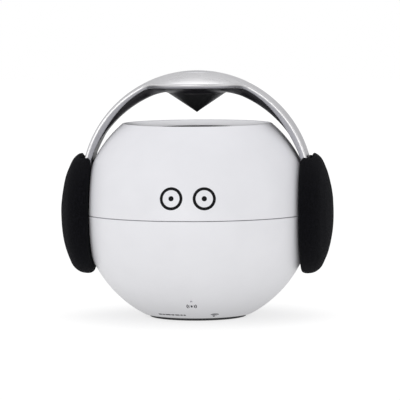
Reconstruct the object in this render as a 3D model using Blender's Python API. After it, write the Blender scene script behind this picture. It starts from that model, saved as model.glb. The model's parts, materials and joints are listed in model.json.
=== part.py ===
"""Ball-shaped desktop speaker with a headphone-style band over its top.

Frame: origin at the middle of the base, on the surface it stands on. +Z up,
-Y is the front, the ear pads are on +X and -X. All sizes below are millimetres;
meshes are written in metres.
"""

import math

import bmesh
import bpy
from mathutils import Matrix, Vector

for old in list(bpy.data.objects):
    bpy.data.objects.remove(old, do_unlink=True)

# ---------------------------------------------------------------- dimensions
MM = 0.001
GAP = 0.3                    # clearance between neighbouring pieces

# ball body
BALL_R = 53.1                # outside radius of the ball
BALL_Z = 48.2                # height of its centre and of the seam
WALL = 2.2                   # moulded wall
FLAT_X = 47.6                # side flats where the ear pads sit
RIM_Z = BALL_Z + 40.6        # top of the rim
BASE_Z = 0.75                # underside of the shell, the foot stands lower
SEAM = 0.3                   # gap between the two shells
SEAM_Z = BALL_Z - 0.5        # the parting line, a little under the middle

# top: dish, grille
DISH_SEAT_R = 33.6           # recess in the rim that takes the dish ring
DISH_SEAT_Z = RIM_Z - 1.9
TOP_FLANGE_Z = 84.5
TOP_OPENING_R = 29.5
GRILLE_R = 19.8
GRILLE_Z = 85.9
GRILLE_T = 0.8

# rear control facet, tilted down from the equator
REAR_TILT = math.radians(26)
REAR_D = 49.3                # distance of the facet from the ball's centre
PANEL_W, PANEL_H, PANEL_R = 36.0, 17.0, 5.0
BUTTON_U = (-9.5, 0.0, 9.5)
BUTTON_V = 3.6
BUTTON_R = 2.8
BUTTON_TRAVEL = 0.5
SOCKET_V = -3.9
USB_U, AUX_U = -8.7, 8.7
SWITCH_U0 = -1.5             # knob at rest (off)
SWITCH_TRAVEL = 3.0
BOSS_U = 15.0

# headband
BAND_R = 53.5                # outside radius of the band
BAND_Z = 59.5                # height of the band's centre
COVER_T = 2.2
CROWN_R = 24.0               # plan radius of the wide round crown
ARM_W = 10.0                 # half width of the arms
INNER_R = 52.67              # inner contour of the band
INNER_Z = 52.9
ARM_IN_X = 47.9              # inner face of the arms beside the flats
ARM_END_ANGLE = 76.0         # degrees from the crown where the arm turns straight
TAB_OUT_X = BAND_R * math.sin(math.radians(ARM_END_ANGLE))
TAB_SCREW_DZ = 8.0           # arm screws above and below the seam
CONE_TIP_Z = 93.9
CONE_SLOPE = 0.672
CONE_R = 12.9
CROWN_DISC_R = 8.4

# ear pads
CUP_R = 22.0
CUP_X0, CUP_X1 = 53.5, 55.5

# base
FOOT_R0, FOOT_R1 = 18.7, 22.3
POST_R = 21.0

# driver
DRIVER_SCREW_R = 21.5
CONE_EDGE_R = 15.1


# ------------------------------------------------------------------ materials
def material(name, color, rough=0.5, metal=0.0):
    mat = bpy.data.materials.new(name)
    mat.use_nodes = True
    shader = mat.node_tree.nodes["Principled BSDF"]
    shader.inputs["Base Color"].default_value = (*color, 1.0)
    shader.inputs["Roughness"].default_value = rough
    shader.inputs["Metallic"].default_value = metal
    mat.diffuse_color = (*color, 1.0)
    return mat


# ------------------------------------------------------------- mesh helpers
def make_mesh(verts, faces):
    """A closed mesh from points in millimetres, faces turned outward."""
    mesh = bpy.data.meshes.new("shape")
    mesh.from_pydata([(x * MM, y * MM, z * MM) for x, y, z in verts], [], faces)
    return turned_out(mesh)


def turned_out(mesh):
    bm = bmesh.new()
    bm.from_mesh(mesh)
    bmesh.ops.recalc_face_normals(bm, faces=bm.faces)
    if bm.calc_volume(signed=True) < 0:
        bmesh.ops.reverse_faces(bm, faces=bm.faces)
    bm.to_mesh(mesh)
    bm.free()
    return mesh


def lathe(profile, segs, loop=False):
    """Turns (radius, z) points round Z. A loop profile closes on itself, an open
    one ends on the axis or is capped flat."""
    verts, rings, faces = [], [], []
    for r, z in profile:
        if r < 1e-6:
            rings.append([len(verts)])
            verts.append((0.0, 0.0, z))
        else:
            rings.append(list(range(len(verts), len(verts) + segs)))
            for k in range(segs):
                a = 2 * math.pi * k / segs
                verts.append((r * math.cos(a), r * math.sin(a), z))
    pairs = list(zip(rings, rings[1:]))
    if loop:
        pairs.append((rings[-1], rings[0]))
    for low, high in pairs:
        for k in range(segs):
            n = (k + 1) % segs
            if len(low) == 1 and len(high) == 1:
                break
            if len(low) == 1:
                faces.append((low[0], high[n], high[k]))
            elif len(high) == 1:
                faces.append((low[k], low[n], high[0]))
            else:
                faces.append((low[k], low[n], high[n], high[k]))
    if not loop:
        for ring in (rings[0], rings[-1]):
            if len(ring) > 1:
                faces.append(tuple(ring))
    return make_mesh(verts, faces)


def prism(outline, z0, z1):
    """Extrudes a flat outline of (x, y) points from z0 to z1."""
    n = len(outline)
    verts = [(x, y, z0) for x, y in outline] + [(x, y, z1) for x, y in outline]
    faces = [tuple(range(n)), tuple(range(n, 2 * n))]
    faces += [(k, (k + 1) % n, n + (k + 1) % n, n + k) for k in range(n)]
    return make_mesh(verts, faces)


def rounded(w, h, r, steps=3, cx=0.0, cy=0.0):
    """Rounded rectangle outline, w by h, corner radius r."""
    points = []
    for sx, sy, start in ((1, 1, 0), (-1, 1, 90), (-1, -1, 180), (1, -1, 270)):
        for k in range(steps + 1):
            a = math.radians(start + 90 * k / steps)
            points.append((cx + sx * (w / 2 - r) + r * math.cos(a),
                           cy + sy * (h / 2 - r) + r * math.sin(a)))
    return points


def circle(r, segs, cx=0.0, cy=0.0, turn=0.0):
    return [(cx + r * math.cos(2 * math.pi * (k + turn) / segs),
             cy + r * math.sin(2 * math.pi * (k + turn) / segs)) for k in range(segs)]


def box(x0, x1, y0, y1, z0, z1):
    return prism([(x0, y0), (x1, y0), (x1, y1), (x0, y1)], z0, z1)


def at(mesh, matrix):
    mesh.transform(matrix)
    return mesh


def shift(x=0.0, y=0.0, z=0.0):
    return Matrix.Translation((x * MM, y * MM, z * MM))


def combine(mesh, tool, operation="DIFFERENCE"):
    """One Boolean step, done on throwaway objects; gives the finished mesh."""
    a = bpy.data.objects.new("work", mesh)
    b = bpy.data.objects.new("tool", tool)
    for obj in (a, b):
        bpy.context.scene.collection.objects.link(obj)
    step = a.modifiers.new("step", "BOOLEAN")
    step.operation = operation
    step.solver = "EXACT"
    step.object = b
    graph = bpy.context.evaluated_depsgraph_get()
    result = bpy.data.meshes.new_from_object(a.evaluated_get(graph))
    bpy.data.objects.remove(a, do_unlink=True)
    bpy.data.objects.remove(b, do_unlink=True)
    return result


def cut(mesh, *tools):
    for tool in tools:
        mesh = combine(mesh, tool, "DIFFERENCE")
    return mesh


def join(mesh, *tools):
    for tool in tools:
        mesh = combine(mesh, tool, "UNION")
    return mesh


def tidy(mesh):
    """Removes the tiny edges that cutting leaves."""
    bm = bmesh.new()
    bm.from_mesh(mesh)
    bmesh.ops.remove_doubles(bm, verts=bm.verts, dist=2e-6)
    bmesh.ops.dissolve_degenerate(bm, edges=bm.edges, dist=1e-6)
    bmesh.ops.triangulate(bm, faces=bm.faces)
    bm.to_mesh(mesh)
    bm.free()
    return mesh


def empty(name, matrix=None, parent=None):
    obj = bpy.data.objects.new(name, None)
    obj.empty_display_size = 0.01
    bpy.context.scene.collection.objects.link(obj)
    obj.parent = parent
    if matrix is not None:
        obj.matrix_local = matrix
    return obj


def piece(name, mesh, mat, parent, place=None, smooth=35):
    """A finished node. place is its origin under its parent, in millimetres; the
    mesh is given in the parent's coordinates."""
    obj = bpy.data.objects.new(name, mesh)
    bpy.context.scene.collection.objects.link(obj)
    obj.parent = parent
    if place is not None:
        mesh.transform(shift(*(-c for c in place)))
        obj.location = Vector(place) * MM
    mesh.name = name
    mesh.materials.clear()
    mesh.materials.append(mat)
    if smooth:
        mesh.shade_smooth()
        mesh.set_sharp_from_angle(angle=math.radians(smooth))
    return obj


def cylinder(r, z0, z1, segs=16, cx=0.0, cy=0.0):
    return prism(circle(r, segs, cx, cy), z0, z1)


def along_x(mesh, side):
    """Turns a shape made round Z so that its Z runs outward along side * X."""
    return at(mesh, Matrix.Rotation(side * math.pi / 2, 4, "Y"))


def screw(head_r, head_h, shaft_r, length, segs=8):
    """Pan-head screw made round Z: head from 0 up, shaft below."""
    return lathe([(0, head_h), (head_r * 0.75, head_h), (head_r, head_h * 0.45),
                  (head_r, 0.0), (shaft_r, 0.0), (shaft_r, -length + 0.6),
                  (0.25, -length)], segs)


# -------------------------------------------------------------- ball shells
def ball(radius, flat_x, rear_d, z0, z1, segs, rings):
    """Solid ball slice between two heights, with the side and rear flats cut."""
    profile = []
    lo = math.asin((z0 - BALL_Z) / radius)
    hi = math.asin((z1 - BALL_Z) / radius)
    for k in range(rings + 1):
        a = lo + (hi - lo) * k / rings
        profile.append((radius * math.cos(a), BALL_Z + radius * math.sin(a)))
    mesh = lathe([(0, profile[0][1])] + profile + [(0, profile[-1][1])], segs)
    for side in (1, -1):
        block = box(flat_x, flat_x + 20, -60, 60, -20, 120)
        if side < 0:
            block = box(-flat_x - 20, -flat_x, -60, 60, -20, 120)
        mesh = cut(mesh, block)
    if rear_d:
        mesh = cut(mesh, at(box(-60, 60, -60, 60, rear_d, rear_d + 20), REAR))
    return mesh


REAR = shift(0, 0, BALL_Z) @ Matrix((
    (-1, 0, 0, 0),
    (0, math.sin(REAR_TILT), math.cos(REAR_TILT), 0),
    (0, math.cos(REAR_TILT), -math.sin(REAR_TILT), 0),
    (0, 0, 0, 1)))

MIC_POINT = Vector((0.0, -36.9, 9.4 - BALL_Z))
MIC_AXIS = Matrix.Rotation(math.atan2(36.9, 9.4 - BALL_Z), 4, "X")


def side_hole(side, z, r=1.3, x0=40.0, x1=60.0):
    hole = along_x(cylinder(r, x0, x1, 12), side)
    return at(hole, shift(0, 0, z))


def lower_shell_mesh():
    top = SEAM_Z - SEAM / 2
    shell = ball(BALL_R, FLAT_X, REAR_D, BASE_Z, top, 40, 8)
    shell = cut(shell, ball(BALL_R - WALL, FLAT_X - WALL, REAR_D - WALL,
                            BASE_Z + WALL, top + 3, 32, 8))
    shell = cut(shell, lathe([(FOOT_R0 - GAP, BASE_Z - 2), (FOOT_R1 + GAP, BASE_Z - 2),
                              (FOOT_R1 + GAP, BASE_Z + 1), (FOOT_R0 - GAP, BASE_Z + 1)],
                             32, loop=True))
    for k in range(3):
        a = math.radians(90 + 120 * k)
        x, y = POST_R * math.cos(a), POST_R * math.sin(a)
        shell = join(shell, cylinder(2.0, BASE_Z + WALL - 0.6, 10.0, 10, x, y))
        shell = cut(shell, cylinder(1.0, 4.6, 12.0, 8, x, y))
    shell = cut(shell, at(prism(rounded(PANEL_W + 2 * GAP, PANEL_H + 2 * GAP,
                                        PANEL_R + GAP), REAR_D - 6, REAR_D + 6), REAR))
    for side in (1, -1):
        shell = cut(shell, side_hole(side, BALL_Z - TAB_SCREW_DZ))
    hole = prism(circle(0.6, 8, turn=0.5), 46, 58)
    hole = at(hole, shift(0, 0, BALL_Z) @ MIC_AXIS)
    return tidy(cut(shell, hole))


def upper_shell_mesh():
    low = SEAM_Z + SEAM / 2
    shell = ball(BALL_R, FLAT_X, None, low, RIM_Z, 40, 7)
    shell = cut(shell, ball(BALL_R - WALL, FLAT_X - WALL, None,
                            low - 3, TOP_FLANGE_Z, 32, 7))
    shell = cut(shell, cylinder(TOP_OPENING_R, TOP_FLANGE_Z - 4, RIM_Z + 4, 32),
                cylinder(DISH_SEAT_R, DISH_SEAT_Z, RIM_Z + 4, 40))
    tongue = lathe([(49.2, BALL_Z - 2.5), (50.5, BALL_Z - 2.5), (50.5, BALL_Z + 0.5),
                    (51.6, BALL_Z + 0.5), (51.6, BALL_Z + 3), (49.2, BALL_Z + 3)],
                   28, loop=True)
    for side in (1, -1):
        x0, x1 = (44.9, 60) if side > 0 else (-60, -44.9)
        tongue = cut(tongue, box(x0, x1, -60, 60, 30, 60))
    shell = join(shell, tongue)
    for side in (1, -1):
        shell = cut(shell, side_hole(side, BALL_Z + TAB_SCREW_DZ))
    return tidy(shell)


def foot_ring_mesh():
    return lathe([(FOOT_R0, 0.0), (FOOT_R1, 0.0), (FOOT_R1, BASE_Z + 0.7),
                  (FOOT_R0, BASE_Z + 0.7)], 32, loop=True)


# ------------------------------------------------------------ dish and grille
def dish_ring_mesh():
    outer = DISH_SEAT_R - GAP
    top = RIM_Z - 0.2
    dish = [(19.95, GRILLE_Z + GRILLE_T + 0.15)]
    steps = 3
    for k in range(1, steps + 1):
        t = k / steps
        dish.append((20.1 + (outer - 0.5 - 20.1) * t,
                     GRILLE_Z + GRILLE_T + 0.15
                     + (top - GRILLE_Z - GRILLE_T - 0.15) * t ** 1.6))
    profile = [(outer, top), (outer, DISH_SEAT_Z + GAP),
               (TOP_OPENING_R - GAP, DISH_SEAT_Z + GAP),
               (TOP_OPENING_R - GAP, 82.5), (17.8, 82.5),
               (17.8, GRILLE_Z - GAP), (GRILLE_R + 0.3, GRILLE_Z - GAP)] + \
        [(GRILLE_R + 0.3, dish[0][1])] + dish[1:]
    ring = lathe(profile, 32, loop=True)
    for k in range(4):
        a = math.radians(45 + 90 * k)
        ring = cut(ring, cylinder(1.1, 80, 85.2, 8, DRIVER_SCREW_R * math.cos(a),
                                  DRIVER_SCREW_R * math.sin(a)))
    return tidy(ring)


def top_grille_mesh():
    disc = cylinder(GRILLE_R, GRILLE_Z, GRILLE_Z + GRILLE_T, 32)
    for ring, count in ((0.0, 1), (5.0, 6), (10.0, 12), (15.0, 18)):
        for k in range(count):
            a = 2 * math.pi * k / count
            hole = circle(1.7, 6, ring * math.cos(a), ring * math.sin(a), 0.3)
            disc = cut(disc, prism(hole, GRILLE_Z - 1, GRILLE_Z + 2))
    return tidy(disc)


# -------------------------------------------------------------------- driver
def driver_frame_mesh():
    frame = lathe([(24.0, 81.3), (24.0, 80.1), (19.9, 80.1), (19.0, 78.6), (15.8, 71.6),
                   (14.3, 70.6), (7.9, 70.6), (7.9, 71.8), (13.9, 71.8), (14.9, 72.6),
                   (17.5, 79.0), (17.5, 79.9), (19.2, 79.9), (19.2, 81.3)], 20, loop=True)
    for k in range(4):
        a = math.radians(90 * k)
        window = box(12, 22, -6, 6, 73.2, 78.2)
        frame = cut(frame, at(window, Matrix.Rotation(a, 4, "Z")))
        b = a + math.radians(45)
        frame = cut(frame, cylinder(1.1, 79, 82, 8, DRIVER_SCREW_R * math.cos(b),
                                    DRIVER_SCREW_R * math.sin(b)))
    return tidy(frame)


def driver_magnet_mesh():
    return lathe([(0, 60.0), (13.2, 60.0), (14.0, 60.8), (14.0, 70.3), (7.3, 70.3),
                  (7.3, 62.5), (5.9, 62.5), (5.9, 70.3), (0, 70.3)], 20)


def surround_mesh():
    """Half-roll rubber edge between the frame and the paper cone."""
    top, under = [], []
    for k in range(5):
        a = math.pi * k / 4
        top.append((16.6 + 1.3 * math.cos(a), 80.7 + 1.5 * math.sin(a)))
        under.append((16.6 + 0.85 * math.cos(a), 80.2 + 1.5 * math.sin(a)))
    return lathe([(18.9, 80.2), (18.9, 80.7)] + top + [(15.4, 80.7), (15.4, 80.2)]
                 + under[::-1], 20, loop=True)


def diaphragm_mesh():
    return lathe([(CONE_EDGE_R, 80.9), (CONE_EDGE_R, 80.3), (11.0, 76.9), (7.3, 74.2),
                  (7.3, 74.9), (11.0, 77.6)], 20, loop=True)


def dust_cap_mesh():
    outer, inner = [], []
    for k in range(5):
        a = math.radians(90 * k / 4)
        outer.append((7.2 * math.cos(a), 75.6 + 3.0 * math.sin(a)))
        inner.append((6.8 * math.cos(a), 75.6 + 2.6 * math.sin(a)))
    outer[-1], inner[-1] = (0.0, 78.6), (0.0, 78.2)
    return lathe(outer[::-1] + inner, 16)


def voice_coil_mesh():
    return lathe([(6.2, 65.0), (7.0, 65.0), (7.0, 75.2), (6.2, 75.2)], 24, loop=True)


def gasket_mesh():
    return lathe([(18.0, 81.6), (20.1, 81.6), (20.1, 82.2), (18.0, 82.2)], 24, loop=True)


# ------------------------------------------------------------------ headband
def band_half_width(deg):
    """Half width of the band across Y: the round crown, filleted into the arms."""
    a = math.radians(min(abs(deg), 89.0))
    s2 = (CROWN_R / BAND_R) ** 2
    val = (s2 - math.sin(a) ** 2) / math.cos(a) ** 2
    crown = BAND_R * math.copysign(math.sqrt(abs(val)), val)
    k = 7.0
    if crown < ARM_W - k:
        return ARM_W
    h = min(max(0.5 + 0.5 * (crown - ARM_W) / k, 0.0), 1.0)
    return ARM_W + (crown - ARM_W) * h + k * h * (1 - h)


def band_thickness(deg):
    """Whole thickness of cover and liner at the middle of the band."""
    a = math.radians(abs(deg))
    low = (BAND_Z - INNER_Z) * math.cos(a)
    rho = -low + math.sqrt(low ** 2 + INNER_R ** 2 - (BAND_Z - INNER_Z) ** 2)
    if a > 0.5:
        rho = min(rho, ARM_IN_X / math.sin(a))
    return BAND_R - rho


def band_stations(end_widths):
    """(centre point, angle, half width, thickness) along the band, end to end.
    Each arm ends in a straight tab beside the flat."""
    degs = [0, 7, 13, 18, 22, 25, 29, 36, 45, 55, 66, ARM_END_ANGLE]
    half = [((0.0, BAND_Z), d, band_half_width(d), band_thickness(d)) for d in degs]
    tab_t = TAB_OUT_X - ARM_IN_X
    for z, w in end_widths:
        half.append(((TAB_OUT_X - BAND_R, z), 90.0, w, tab_t))
    other = [((-c[0], c[1]), -d, w, t) for c, d, w, t in half[:0:-1]]
    return other + half


def band_point(station, across, depth):
    (cx, cz), deg, w, _ = station
    a = math.radians(deg)
    psi = math.asin(max(-1.0, min(1.0, across * w / BAND_R)))
    r = BAND_R - depth
    return (cx + r * math.sin(a) * math.cos(psi), r * math.sin(psi),
            cz + r * math.cos(a) * math.cos(psi))


def loft(sections):
    n = len(sections[0])
    verts = [p for s in sections for p in s]
    faces = [tuple(range(n)), tuple(range(len(verts) - n, len(verts)))]
    for i in range(len(sections) - 1):
        for k in range(n):
            m = (k + 1) % n
            faces.append((i * n + k, i * n + m, (i + 1) * n + m, (i + 1) * n + k))
    return make_mesh(verts, faces)


COVER_ENDS = ((70.0, ARM_W), (60.0, ARM_W), (42.0, ARM_W), (37.0, 8.6), (34.5, 5.5))
LINER_ENDS = ((70.0, ARM_W - 1.2), (60.0, ARM_W - 1.2), (42.5, ARM_W - 1.2),
              (38.0, 7.4), (35.5, 4.5))


def lip_depth(station):
    """How far the cover's rolled edge reaches down over the liner: a low lip at
    the crown that grows to nearly the whole thickness of the arms."""
    (cx, _), deg, w, total = station
    t = min(max((abs(deg) - 30.0) / 55.0, 0.0), 1.0)
    lip = 2.6 + (total - 0.15 - 2.6) * t * t * (3 - 2 * t)
    if abs(deg) > 74:
        reach = math.sin(math.radians(abs(deg))) * math.sqrt(1 - (w / BAND_R) ** 2)
        lip = min(lip, BAND_R - (ARM_IN_X + abs(cx)) / reach)
    return lip


def cover_mesh():
    top = [(-1, 0.55), (-0.955, 0.0), (-0.5, 0.0), (0.0, 0.0), (0.5, 0.0),
           (0.955, 0.0), (1, 0.55)]
    sections = []
    for station in band_stations(COVER_ENDS):
        lip, b = lip_depth(station), (station[2] - 0.9) / station[2]
        under = [(1, lip - 0.35), (b + 0.02, lip), (b, COVER_T), (0.5, COVER_T),
                 (0.0, COVER_T), (-0.5, COVER_T), (-b, COVER_T), (-b - 0.02, lip),
                 (-1, lip - 0.35)]
        sections.append([band_point(station, a, d) for a, d in top + under])
    mesh = loft(sections)
    seat, floor = [], 0.8
    for k in range(4):
        r = (CROWN_DISC_R + GAP) * k / 3
        seat.append((r, BAND_Z + math.sqrt((BAND_R - floor) ** 2 - r * r)))
    recess = lathe(seat + [(CROWN_DISC_R + GAP, BAND_Z + BAND_R + 2),
                           (0, BAND_Z + BAND_R + 2)], 32)
    mesh = cut(mesh, recess, cylinder(2.4, BAND_Z + BAND_R - 1.7, 116, 12),
               cylinder(1.3, 105, 116, 10))
    for side in (1, -1):
        for dz in (-TAB_SCREW_DZ, 0.0, TAB_SCREW_DZ):
            mesh = cut(mesh, side_hole(side, BALL_Z + dz))
    return tidy(mesh)


def under_z(x, y, z):
    """Blends the liner's underside smoothly into the cone that hangs from it."""
    k = 1.6
    cone = CONE_TIP_Z + CONE_SLOPE * math.hypot(x, y)
    h = min(max(0.5 + 0.5 * (cone - z) / k, 0.0), 1.0)
    return cone + (z - cone) * h - k * h * (1 - h)


def liner_mesh():
    """Dark inner band, bulging downward between its edges."""
    top = COVER_T + GAP
    across = (1.0, 0.8, 0.5, 0.25, 0.0, -0.25, -0.5, -0.8, -1.0)
    sections = []
    for i, (c, deg, w, total) in enumerate(band_stations(LINER_ENDS)):
        inset = 0.0 if abs(deg) > 89 else 1.2
        station = (c, deg, w - inset, total)
        ring = [band_point(station, a, top) for a in (-1.0, -0.5, 0.0, 0.5, 1.0)]
        for a in across:
            depth = top + 0.5 + (total - top - 0.5) * (1 - abs(a) ** 4)
            x, y, z = band_point(station, a, depth)
            if abs(deg) < 40:
                z = under_z(x, y, z)
            ring.append((x, y, z))
        sections.append(ring)
    mesh = cut(loft(sections), cylinder(CONE_R + GAP, 90, 120, 32))
    for side in (1, -1):
        for dz in (-TAB_SCREW_DZ, 0.0, TAB_SCREW_DZ):
            mesh = cut(mesh, side_hole(side, BALL_Z + dz))
    return tidy(mesh)


def cone_mesh():
    edge = CONE_TIP_Z + CONE_SLOPE * CONE_R
    mesh = lathe([(0, CONE_TIP_Z), (CONE_R, edge), (CONE_R, 108.0), (0, 108.0)], 32)
    return tidy(cut(mesh, cylinder(1.3, 101, 112, 8)))


def crown_disc_mesh():
    top, under = [], []
    for k in range(4):
        r = CROWN_DISC_R * k / 3
        top.append((r, BAND_Z + math.sqrt(BAND_R ** 2 - r * r)))
        under.append((r, BAND_Z + math.sqrt((BAND_R - 0.5) ** 2 - r * r)))
    return lathe(under + top[::-1], 24)


# ------------------------------------------------------------------ ear pads
def ear_cup_mesh(side):
    """Hard disc behind the foam, with a boss that reaches the arm."""
    mesh = lathe([(0, TAB_OUT_X + GAP), (4.0, TAB_OUT_X + GAP), (4.0, CUP_X0),
                  (CUP_R - 0.6, CUP_X0), (CUP_R, CUP_X0 + 0.6), (CUP_R, CUP_X1 - 0.6),
                  (CUP_R - 0.8, CUP_X1), (2.3, CUP_X1), (2.3, CUP_X1 - 1.2),
                  (0, CUP_X1 - 1.2)], 20)
    mesh = cut(mesh, cylinder(1.3, 50, 58, 10))
    return tidy(at(along_x(mesh, side), shift(0, 0, BALL_Z)))


def ear_foam_mesh(side):
    """Foam cover: crowned outside, hollow over the cup, slotted for the arm."""
    loop = [(0.0, 62.8), (7.8, 62.3), (13.3, 61.4), (18.0, 60.2), (21.6, 58.7),
            (24.4, 57.3), (26.2, 55.5), (27.3, 53.4), (27.6, 51.3), (27.1, 49.3),
            (26.0, ARM_IN_X), (19.0, ARM_IN_X), (19.0, 53.15), (22.4, 53.15),
            (22.4, 56.0), (0.0, 56.0)]
    mesh = along_x(lathe(loop, 24), side)
    slot = box(44, 53.15, -ARM_W - 0.4, ARM_W + 0.4, 14, 40)
    if side < 0:
        slot = box(-53.15, -44, -ARM_W - 0.4, ARM_W + 0.4, 14, 40)
    return tidy(at(cut(mesh, slot), shift(0, 0, BALL_Z)))


def arm_screw_mesh(side):
    """Head outside the arm, shaft through arm and shell into the nut plate."""
    mesh = at(screw(1.9, 0.9, 1.0, 9.4), shift(0, 0, TAB_OUT_X + GAP))
    return along_x(mesh, side)


def cup_screw_mesh(side):
    mesh = at(screw(1.9, 0.9, 1.0, 5.6), shift(0, 0, CUP_X1 - 0.9))
    return along_x(mesh, side)


def nut_plate_mesh(side):
    x1 = FLAT_X - WALL - GAP
    x0 = x1 - 1.2
    if side < 0:
        x0, x1 = -x1, -x0
    mesh = box(x0, x1, -4, 4, BALL_Z - 12, BALL_Z + 12)
    for dz in (-TAB_SCREW_DZ, TAB_SCREW_DZ):
        mesh = cut(mesh, side_hole(side, BALL_Z + dz))
    return tidy(mesh)


# --------------------------------------------------- rear panel and controls
def rear_panel_mesh():
    d1, d0 = REAR_D - 0.3, REAR_D - WALL - GAP
    mesh = prism(rounded(PANEL_W, PANEL_H, PANEL_R), d0 - 0.4, d1)
    mesh = join(mesh, prism(rounded(PANEL_W + 1.6, PANEL_H + 1.6, PANEL_R + 2.4), d0 - 1.2, d0))
    for side in (1, -1):
        boss = cylinder(1.9, 41.3, d0 - 0.6, 10, side * BOSS_U, 0)
        mesh = cut(join(mesh, boss), cylinder(1.0, 40, 45.2, 8, side * BOSS_U, 0))
    for u in BUTTON_U:
        mesh = cut(mesh, cylinder(BUTTON_R + GAP, 42, 52, 20, u, BUTTON_V))
    slot = rounded(SWITCH_TRAVEL + 2.6 + 2 * GAP, 2.0 + 2 * GAP, 0.5, 2, 0, SOCKET_V)
    mesh = cut(mesh, prism(slot, 42, 52),
               prism(rounded(8.4, 3.8, 0.9, 2, USB_U, SOCKET_V), 42, 52),
               cylinder(3.4, 42, 52, 20, AUX_U, SOCKET_V),
               cylinder(1.2, 42, 52, 10, -4.8, 0.3))
    return tidy(mesh)


def io_board_mesh():
    mesh = prism(rounded(34, 15.5, 3), 39.8, 41.0)
    for side in (1, -1):
        mesh = cut(mesh, cylinder(1.0, 38, 43, 8, side * BOSS_U, 0))
    return tidy(mesh)


def button_mesh():
    """Cap, retaining flange and stem, made about its own axis."""
    return lathe([(0, 43.9), (1.1, 43.9), (1.1, 44.3), (3.6, 44.3), (3.6, 45.1),
                  (BUTTON_R, 45.1), (BUTTON_R, 49.4), (BUTTON_R - 0.4, 49.75),
                  (0, 49.75)], 14)


def tact_switch_mesh():
    body = box(-2.5, 2.5, -2.5, 2.5, 41.3, 42.9)
    return join(body, cylinder(1.2, 42.5, 43.3, 10))


def usb_mesh():
    mesh = prism(rounded(7.8, 3.2, 0.8, 2), 41.3, 48.9)
    mesh = cut(mesh, prism(rounded(6.9, 2.3, 0.5, 2), 43.0, 50))
    return join(mesh, box(-2.4, 2.4, -0.35, 0.35, 42.6, 47.9))


def aux_mesh():
    mesh = join(box(-3.5, 3.5, -3.3, 3.3, 41.3, 45.1), cylinder(3.1, 44.8, 48.9, 20))
    return cut(mesh, cylinder(1.8, 42.2, 50, 16))


def knob_mesh():
    mesh = box(-2.3, 2.3, -1.7, 1.7, 43.6, 44.8)
    post = prism(rounded(2.6, 2.0, 0.4, 2), 44.5, 49.8)
    mesh = join(mesh, post)
    for k in (-0.75, 0.0, 0.75):
        mesh = cut(mesh, box(k - 0.15, k + 0.15, -2, 2, 49.5, 51))
    return tidy(mesh)


# --------------------------------------------------------------- electronics
def main_pcb_mesh():
    mesh = cylinder(26.0, 10.3, 11.5, 32)
    for k in range(3):
        a = math.radians(90 + 120 * k)
        mesh = cut(mesh, cylinder(1.0, 9, 13, 8, POST_R * math.cos(a),
                                  POST_R * math.sin(a)))
    return tidy(mesh)


def battery_cradle_mesh():
    mesh = prism(rounded(30, 22, 1.5), 3.25, 7.0)
    return cut(mesh, prism(rounded(28.6, 20.6, 1.2), 4.1, 9),
               box(12, 20, -6, 6, 5.0, 9))


def wire(name, points, radius, mat, parent):
    """A round lead on a smooth curve through the route's own points."""
    pts = [Vector(p) for p in points]
    ext = [pts[0] * 2 - pts[1]] + pts + [pts[-1] * 2 - pts[-2]]
    path = []
    for i in range(1, len(ext) - 2):
        p0, p1, p2, p3 = ext[i - 1:i + 3]
        for k in range(3):
            t = k / 3
            path.append(0.5 * ((2 * p1) + (p2 - p0) * t
                               + (2 * p0 - 5 * p1 + 4 * p2 - p3) * t * t
                               + (3 * p1 - p0 - 3 * p2 + p3) * t ** 3))
    path.append(pts[-1])
    curve = bpy.data.curves.new(name, "CURVE")
    curve.dimensions = "3D"
    spline = curve.splines.new("POLY")
    spline.points.add(len(path) - 1)
    for point, co in zip(spline.points, path):
        point.co = (*(co * MM), 1.0)
    curve.bevel_depth = radius * MM
    curve.bevel_resolution = 2
    curve.use_fill_caps = True
    curve.materials.append(mat)
    obj = bpy.data.objects.new(name, curve)
    bpy.context.scene.collection.objects.link(obj)
    obj.parent = parent
    return obj


# ------------------------------------------------------------------ assembly
white = material("shell_white", (0.84, 0.84, 0.86), 0.42)
dish_white = material("dish_white", (0.80, 0.80, 0.82), 0.45)
grille_black = material("grille_black", (0.03, 0.03, 0.035), 0.5, 0.3)
silver = material("band_silver", (0.72, 0.72, 0.73), 0.32, 0.9)
liner_black = material("liner_black", (0.03, 0.03, 0.035), 0.28)
cone_black = material("cone_black", (0.02, 0.02, 0.022), 0.35)
foam = material("foam_black", (0.02, 0.02, 0.024), 0.95)
rubber = material("rubber_black", (0.03, 0.03, 0.03), 0.8)
panel_grey = material("panel_white", (0.78, 0.78, 0.80), 0.45)
button_white = material("button_grey", (0.70, 0.70, 0.72), 0.4)
steel = material("steel", (0.60, 0.60, 0.62), 0.3, 1.0)
dark_plastic = material("dark_plastic", (0.05, 0.05, 0.055), 0.5)
board = material("board_green", (0.03, 0.18, 0.08), 0.45)
foil = material("battery_foil", (0.55, 0.57, 0.62), 0.35, 0.6)
paper = material("cone_paper", (0.05, 0.05, 0.05), 0.8)
copper = material("coil_copper", (0.72, 0.38, 0.20), 0.35, 0.9)
lens = material("status_lens", (0.75, 0.85, 0.95), 0.15)
wire_red = material("wire_red", (0.45, 0.03, 0.03), 0.5)

speaker = empty("speaker")
rear = empty("rear_controls", REAR, speaker)

piece("lower_shell", lower_shell_mesh(), white, speaker)
piece("upper_shell", upper_shell_mesh(), white, speaker)
piece("foot_ring", foot_ring_mesh(), rubber, speaker)
piece("dish_ring", dish_ring_mesh(), dish_white, speaker)
piece("top_grille", top_grille_mesh(), grille_black, speaker)

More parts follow.
